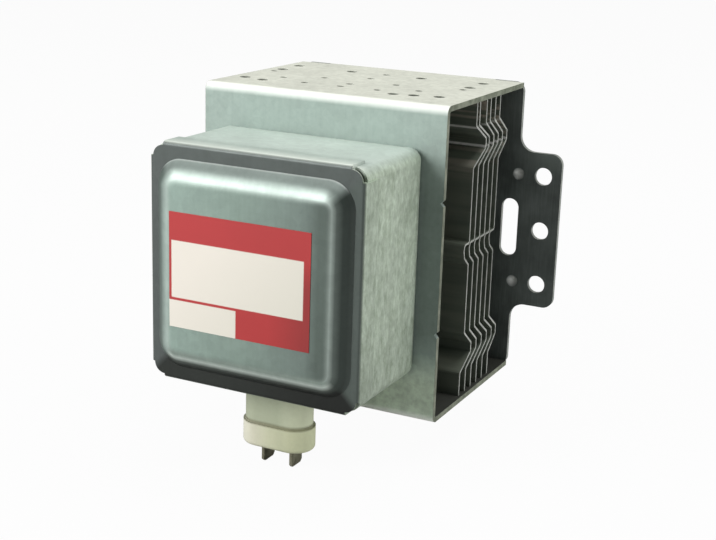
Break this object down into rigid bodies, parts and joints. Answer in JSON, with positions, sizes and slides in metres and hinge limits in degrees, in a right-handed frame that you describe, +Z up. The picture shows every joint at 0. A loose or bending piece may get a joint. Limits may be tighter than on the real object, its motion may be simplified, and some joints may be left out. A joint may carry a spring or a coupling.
{
  "type": "magnetron",
  "caption": "Microwave-oven magnetron: folded steel yoke with corrugated fins, eared mounting plate, rear antenna and a front filter box with a pressed lid and tab terminals.",
  "frame": {"origin": "on the antenna's axis, at the outer face of the mounting plate", "axes": "+Y along the antenna's axis, out of the mounting plate; +Z up, away from the tab terminals; +X along the cooling air"},
  "size_m": [0.109, 0.1349, 0.1081],
  "materials": {
    "galvanised_steel": "galvanised, faint spangle",
    "plate_steel": "bare, dull and dark",
    "label_film": "satin film with plain red and white fields",
    "case_plastic": "moulded, cream",
    "inner_plastic": "moulded, dark",
    "tab_metal": "tinned, dull",
    "fin_aluminium": "bare sheet",
    "ferrite": "ground, dark grey",
    "copper": "bare copper",
    "coil_copper": "enamelled copper wire",
    "pole_iron": "plated iron",
    "seal_metal": "bare drawn metal",
    "cathode_metal": "dark refractory metal",
    "alumina": "bare alumina",
    "gasket_wire": "woven wire"
  },
  "bodies": {
    "root": {"yoke": "galvanised_steel", "filter_box": "galvanised_steel", "filter_lid": "galvanised_steel", "mounting_plate": "plate_steel", "label": "label_film", "capacitor_case": "case_plastic", "capacitor_inner_case": "inner_plastic", "terminal_tabs": "tab_metal", "fin_1": "fin_aluminium", "fin_2": "fin_aluminium", "fin_3": "fin_aluminium", "fin_4": "fin_aluminium", "fin_5": "fin_aluminium", "fin_6": "fin_aluminium", "front_magnet": "ferrite", "rear_magnet": "ferrite", "choke_cores": "ferrite", "anode_cylinder": "copper", "anode_vanes": "copper", "strap_rings": "copper", "antenna_lead": "copper", "exhaust_tube": "copper", "choke_coils": "coil_copper", "front_pole_piece": "pole_iron", "rear_pole_piece": "pole_iron", "front_seal_cup": "seal_metal", "rear_seal_cup": "seal_metal", "antenna_cap": "seal_metal", "gasket_ring": "seal_metal", "capacitor_plate": "seal_metal", "capacitor_rivets": "seal_metal", "stem_terminals": "seal_metal", "cathode_filament": "cathode_metal", "upper_end_hat": "cathode_metal", "lower_end_hat": "cathode_metal", "centre_lead": "cathode_metal", "side_lead": "cathode_metal", "stem_ceramic": "alumina", "antenna_ceramic": "alumina", "gasket": "gasket_wire"}
  },
  "joints": []
}
